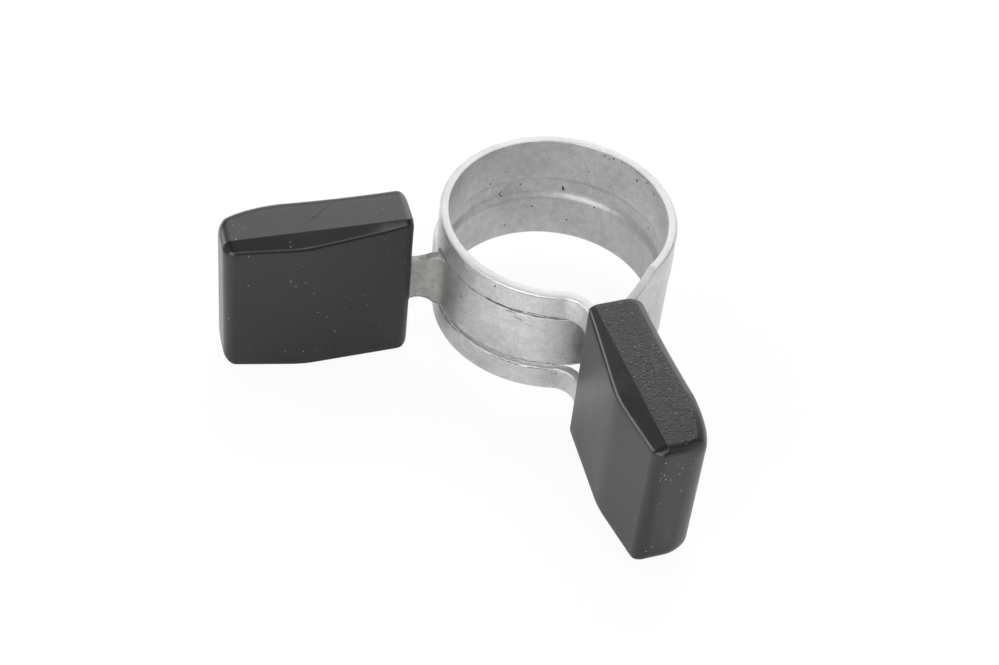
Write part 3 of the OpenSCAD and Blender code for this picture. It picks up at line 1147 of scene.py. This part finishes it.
@dataclass
class Grip:
    """One moulded grip, in the frame of its tab.

    X runs out along the grip from its inner end, Y from the tab's middle plane towards the
    other grip, and Z up. Rings across X make the body, and its inner end has the slot that
    the tab goes into. The facing side bulges softly, the thumb side is a little hollow and
    curves in at the outer end, and a twisted bevel runs along the facing side's upper edge.
    """

    name: str
    node: str
    body: str
    side: Side
    tab: Tab
    finish: MouldedPlastic
    length: float = 41 * MM
    half_height: float = 19.25 * MM
    half_drop: float = 1.8 * MM
    cover: float = 2.5 * MM
    bulge: float = 2.4 * MM
    bulge_at: float = 24 * MM
    bulge_radius: float = 25 * MM
    end_rise: float = 0.4 * MM
    depth: float = 10 * MM
    swell: float = 0.9 * MM
    hollow: float = 0.35 * MM
    curve_length: float = 13.5 * MM
    curve_depth: float = 4.5 * MM
    bevel_inset: float = 1.1 * MM
    bevel_taper: float = 1.1 * MM
    bevel_drop: float = 1.45 * MM
    bevel_steepest: float = 36
    bevel_narrowest: float = 0.3 * MM
    inner_round: float = 1.9 * MM
    outer_round: float = 2.5 * MM
    end_round: float = 2.0 * MM
    bottom_round: float = 2.5 * MM
    square_end: float = 0.001 * MM
    foot_round: float = 1.3 * MM
    crease_round: float = 0.5 * MM
    thumb_round: float = 3.5 * MM
    lower_round: float = 0.8 * MM
    # The most that a rounding may take of the bevel's width, and of the flat top's
    most_of_bevel: float = 0.7
    most_of_top: float = 0.45
    slot_gap: float = 0.15 * MM
    slot_depth: float = 3 * MM
    sharp_over: float = 40
    # How many rings round off an end, and how many each of the parts between has
    end_rings: int = 14
    length_rings: int = 40
    strip: StripSizes = field(default_factory=StripSizes)

    def stations(self) -> np.ndarray:
        """Places of the rings along the grip, close together at both rounded ends.

        Returns:
            The places, from the inner end to the outer one.
        """
        quarter = math.pi / 2
        rounded_end = self.bottom_round * (1 - np.cos(np.linspace(0, quarter, self.end_rings)))
        curve_from = self.length - self.curve_length
        plain = np.linspace(self.bottom_round, curve_from, self.length_rings)
        turn = np.linspace(0, quarter, self.length_rings)
        curve = curve_from + self.curve_length * np.sin(turn)
        curve = curve[curve < self.length - self.bottom_round]
        places = np.concatenate([rounded_end, plain, curve, self.length - rounded_end])
        return np.unique(places.round(7))

    def taken_in(self, x: float, inner: float, outer: float) -> float:
        """How far the rounding of the two ends takes a side in.

        Args:
            x: the place along the grip.
            inner: the radius at the inner end.
            outer: the radius at the outer end.

        Returns:
            The distance.
        """
        past_inner = max(0.0, inner - x)
        past_outer = max(0.0, x - (self.length - outer))
        at_inner = inner - math.sqrt(inner**2 - past_inner**2)
        return at_inner + outer - math.sqrt(max(0.0, outer**2 - past_outer**2))

    def facing(self, x: float) -> float:
        """Height of the facing side over the tab's middle plane, with its soft bend.

        Args:
            x: the place along the grip.

        Returns:
            The height.
        """
        up = self.bulge / self.bulge_at
        down = (self.end_rise - self.bulge) / (self.length - self.bulge_at)
        reach = self.bulge_radius * (up - down) / 2
        past = x - self.bulge_at
        if past < -reach:
            return self.cover + up * x
        if past > reach:
            return self.cover + self.bulge + down * past
        return self.cover + up * x - (past + reach) ** 2 / (4 * reach) * (up - down)

    def thumb(self, x: float) -> float:
        """Depth of the thumb side under the tab's middle plane, curved at the outer end.

        Args:
            x: the place along the grip.

        Returns:
            The depth.
        """
        curve_from = self.length - self.curve_length
        share = min(1.0, x / curve_from)
        turn = min(1.0, max(0.0, (x - curve_from) / self.curve_length))
        curve = self.curve_depth * (1 - math.sqrt(1 - turn**2))
        return self.depth + self.swell * share - self.hollow * 4 * share * (1 - share) - curve

    def ring(self, x: float) -> np.ndarray:
        """Outline of the grip across its length.

        Args:
            x: the ring's place along the grip.

        Returns:
            Its points in Y and Z, one turn from the foot of the bevel.
        """
        at_end = self.taken_in(x, self.end_round, self.end_round)
        at_corner = self.taken_in(x, self.inner_round, self.outer_round)
        at_inner = self.taken_in(x, self.inner_round, self.square_end)
        high = self.half_height - self.half_drop * x / self.length
        top = high - at_end
        bottom = self.taken_in(x, self.bottom_round, self.bottom_round) - high
        face = self.facing(x) - at_corner
        thumb = at_end - self.thumb(x)
        bevel_from = self.cover - self.bevel_inset - self.bevel_taper * x / self.length - at_inner
        wide = max(face - bevel_from, self.bevel_narrowest)
        drop = min(self.bevel_drop, wide * math.tan(math.radians(self.bevel_steepest)))
        narrow = min(self.thumb_round, self.most_of_top * (face - wide - thumb))
        corners = [
            ((face, top - drop), min(self.foot_round, self.most_of_bevel * wide)),
            ((face - wide, top), min(self.crease_round, wide)),
            ((thumb, top), narrow),
            ((thumb, bottom), narrow),
            ((face, bottom), self.lower_round),
        ]
        arcs = [
            rounded(corners[n - 1][0], corner, corners[(n + 1) % len(corners)][0], radius)
            for n, (corner, radius) in enumerate(corners)
        ]
        # The long runs of the top, the bottom and the two big faces get rows of their own
        rows = (1, 8, 20, 8, 20)
        points = []
        for n, arc in enumerate(arcs):
            start, end = arc[-1], arcs[(n + 1) % len(arcs)][0]
            points += arc + [start + (end - start) * k / rows[n] for k in range(1, rows[n])]
        return np.array(points)

    def slot_ring(self, outline: np.ndarray) -> np.ndarray:
        """Outline of the slot, with one point for each point of the ring round it.

        Args:
            outline: the ring.

        Returns:
            The slot's points in Y and Z.
        """
        half_t = self.strip.thickness / 2 + self.slot_gap
        half_h = self.tab.half_width + self.slot_gap
        middle = np.array([0.0, self.strip.tongue_lift if self.side is Side.RIGHT else 0.0])
        rel = outline - middle
        scale = (np.array([half_t, half_h]) / np.maximum(np.abs(rel), TINY)).min(axis=1)
        ring = rel * scale[:, None]
        for corner in ((half_t, half_h), (-half_t, half_h), (-half_t, -half_h), (half_t, -half_h)):
            turn = np.arctan2(rel[:, 1], rel[:, 0]) - math.atan2(corner[1], corner[0])
            nearest = int(np.argmin(np.abs((turn + math.pi) % (2 * math.pi) - math.pi)))
            ring[nearest] = corner
        return ring + middle

    def build(self) -> None:
        """Builds, dresses and hangs the grip."""
        places = [float(x) for x in self.stations()]
        rings = [self.ring(x) for x in places]
        slot = self.slot_ring(rings[0])
        rings = [slot, slot] + rings
        places = [self.slot_depth, 0.0] + places
        count = len(slot)
        local = np.array([[x, y, z] for x, ring in zip(places, rings) for y, z in ring])
        faces = [
            (k + n, k + count + n, k + count + (n + 1) % count, k + (n + 1) % count)
            for k in range(0, len(local) - count, count)
            for n in range(count)
        ]
        faces.append(tuple(range(count)))
        faces.append(tuple(range(len(local) - count, len(local)))[::-1])
        mesh = smooth_mesh(self.name, self.to_row(local), faces)
        keep_places(mesh, MOULD_PLACE, local)
        mesh.update()
        # The rings run the other way round on the mirrored grip
        if sum(p.center.dot(p.normal) * p.area for p in mesh.polygons) < 0:
            mesh.flip_normals()
        obj = link(mesh)
        mesh.materials.append(self.finish.build())
        mesh.set_sharp_from_angle(angle=math.radians(self.sharp_over))
        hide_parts(self.node)
        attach(obj, self.body)
        log.info("%s: %d faces", obj.name, len(mesh.polygons))

    def to_row(self, local: np.ndarray) -> np.ndarray:
        """Moves points from the grip's frame to the row frame.

        Args:
            local: points in the frame of the grip.

        Returns:
            The points in the row frame.
        """
        turn = math.radians(self.strip.grip_turn)
        out = np.array([math.sin(turn), math.cos(turn)])
        face = np.array([-math.cos(turn), math.sin(turn)])
        plan = (local[:, :1] + self.tab.grip_at) * out + (local[:, 1:2] + self.tab.offset) * face
        mirror = -self.side.value
        return np.column_stack([mirror * plan[:, 0], plan[:, 1], local[:, 2]])


# ---------------------------------------------------------------- the studio


@dataclass
class Studio:
    """White floor, soft light and camera."""

    floor_height: float = -19.3 * MM
    floor_size: float = 8.0
    white: str = "#ffffff"
    # How much of the floor's white is its own, to the camera and in reflections; the rest is
    # lit paper, which keeps the object's shadow
    white_seen: float = 0.92
    white_reflected: float = 0.05
    # The room's light in front and straight behind, and the direction's Y from which it rises
    room_dim: float = 0.16
    room_lit: float = 0.75
    room_turn: float = -0.1
    camera_place: Triple = (0.130218, -0.322301, 0.328277)
    view_direction: Triple = (-0.280974, 0.642704, -0.712731)
    camera_roll: float = 6.8
    clip_start: float = 0.01
    # Focal length and sensor width in millimetres, as cameras have them
    lens: float = 77.52
    sensor: float = 36

    def build(self) -> None:
        """Builds the floor, the light and the camera."""
        self.floor()
        self.room()
        self.lamps()
        self.camera()
        bpy.context.scene.view_settings.view_transform = "Standard"

    def floor(self) -> None:
        """Lays a white sheet that looks white, with a faint shadow left on it."""
        half, z = self.floor_size / 2, self.floor_height
        mesh = bpy.data.meshes.new("floor")
        corners = [(-half, -half, z), (half, -half, z), (half, half, z), (-half, half, z)]
        mesh.from_pydata(corners, [], [(0, 1, 2, 3)])
        obj = link(mesh)
        material = new_material("white_paper_sweep")
        tree = material.node_tree
        tree.nodes.clear()
        paper = add_node(tree, "BsdfDiffuse", {"Color": linear(self.white)})
        white = add_node(tree, "Emission", {"Color": linear(self.white), "Strength": 1.0})
        to_camera = add_node(tree, "LightPath", output="Is Camera Ray")
        glossy, through = (to_camera.node.outputs[f"Is {ray} Ray"] for ray in ("Glossy", "Transmission"))
        mirrored = {0: strongest(tree, [glossy, through]), 1: self.white_reflected}
        part = add_node(tree, "Math", mirrored, operation="MULTIPLY")
        own = {0: to_camera, 1: self.white_seen, 2: part}
        seen = add_node(tree, "Math", own, operation="MULTIPLY_ADD")
        mix = add_node(tree, "MixShader", {0: seen, 1: paper, 2: white})
        add_node(tree, "OutputMaterial", {"Surface": mix})
        mesh.materials.append(material)

    def room(self) -> None:
        """Makes a dim room whose far half is lit, behind a white background."""
        world = bpy.data.worlds.new("studio")
        bpy.context.scene.world = world
        world.use_nodes = True
        tree = world.node_tree
        tree.nodes.clear()
        direction = add_node(tree, "TexCoord", output="Generated")
        fade = {
            "Value": add_node(tree, "SeparateXYZ", {0: direction}, "Y"),
            "From Min": self.room_turn,
            "To Min": self.room_dim,
            "To Max": self.room_lit,
        }
        strength = add_node(tree, "MapRange", fade, interpolation_type="SMOOTHSTEP")
        dim = add_node(tree, "Background", {"Strength": strength})
        white = add_node(tree, "Background", {"Color": linear(self.white), "Strength": 1.0})
        seen = add_node(tree, "LightPath", output="Is Camera Ray")
        mix = add_node(tree, "MixShader", {0: seen, 1: dim, 2: white})
        add_node(tree, "OutputWorld", {"Surface": mix})

    def lamps(self) -> None:
        """Hangs large soft boxes on all sides, and small ones that light the grips' bevels."""
        for name, place, size, radiance in (
            ("key_box", (-0.42, 0.96, 1.07), 1.1, 2.9),
            ("back_box", (-0.1, 1.45, 0.2), 0.8, 2.0),
            ("fill_box", (-0.1, -1.4, 0.55), 1.2, 3.8),
            ("left_box", (-1.3, -0.3, 0.35), 0.8, 5.0),
            ("right_box", (1.3, -0.1, 0.5), 0.9, 1.0),
            ("top_box", (0.2, 0.1, 1.4), 0.8, 0.6),
            ("front_box", (0.46, -0.46, 0.88), 0.35, 5.0),
            ("high_left_box", (-0.85, 0.2, 0.78), 0.5, 1.0),
        ):
            lamp = bpy.data.lights.new(name, "AREA")
            lamp.shape = "SQUARE"
            lamp.size = size
            lamp.energy = radiance * math.pi * size**2
            obj = bpy.data.objects.new(name, lamp)
            obj.location = place
            obj.rotation_euler = (-Vector(place)).to_track_quat("-Z", "Y").to_euler()
            bpy.context.scene.collection.objects.link(obj)

    def camera(self) -> None:
        """Sets up the camera above the front, slightly rolled."""
        forward = Vector(self.view_direction).normalized()
        level = forward.cross(Vector((0, 0, 1))).normalized()
        upward = level.cross(forward)
        roll = math.radians(self.camera_roll)
        right = level * math.cos(roll) + upward * math.sin(roll)
        up = right.cross(forward)
        data = bpy.data.cameras.new("camera")
        data.lens = self.lens
        data.sensor_width = self.sensor
        data.clip_start = self.clip_start
        obj = bpy.data.objects.new("camera", data)
        matrix = Matrix((right, up, -forward)).transposed().to_4x4()
        matrix.translation = Vector(self.camera_place)
        obj.matrix_world = matrix
        bpy.context.scene.collection.objects.link(obj)
        bpy.context.scene.camera = obj


# ---------------------------------------------------------------- all together


def main() -> None:
    """Builds the clamp and its studio."""
    logging.basicConfig(level=logging.INFO, format="%(name)s: %(message)s")
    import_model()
    Studio().build()
    steel = ZincCoatedSteel()
    edge = ZincCoatedSteel(
        name="sheared_edge_of_the_strip", pale="#d6d7d6", dull="#c2c3c2", roughness=0.66, scars=()
    )
    band = Band(steel, edge)
    band.build()
    smooth = MouldedPlastic(
        "smooth_black_polyethylene", LEFT_GRIP_SCARS, scarred="#0c0c0d", grain_height=0.02 * MM
    )
    # The leathery top gets pale specks that are scuffs and also painted glints of its grain
    leathery = MouldedPlastic(
        "leathery_black_polyethylene", RIGHT_GRIP_SCARS, scuff_and_glint_strength=0.6, pattern_shift=0.3
    )
    Grip("grip_left", "left_grip", "right_arm", Side.RIGHT, band.left_tab, smooth).build()
    Grip(
        "grip_right",
        "right_grip",
        "left_arm",
        Side.LEFT,
        band.right_tab,
        leathery,
        bevel_drop=2.1 * MM,
        bevel_steepest=30,
    ).build()


if __name__ == "__main__":
    main()
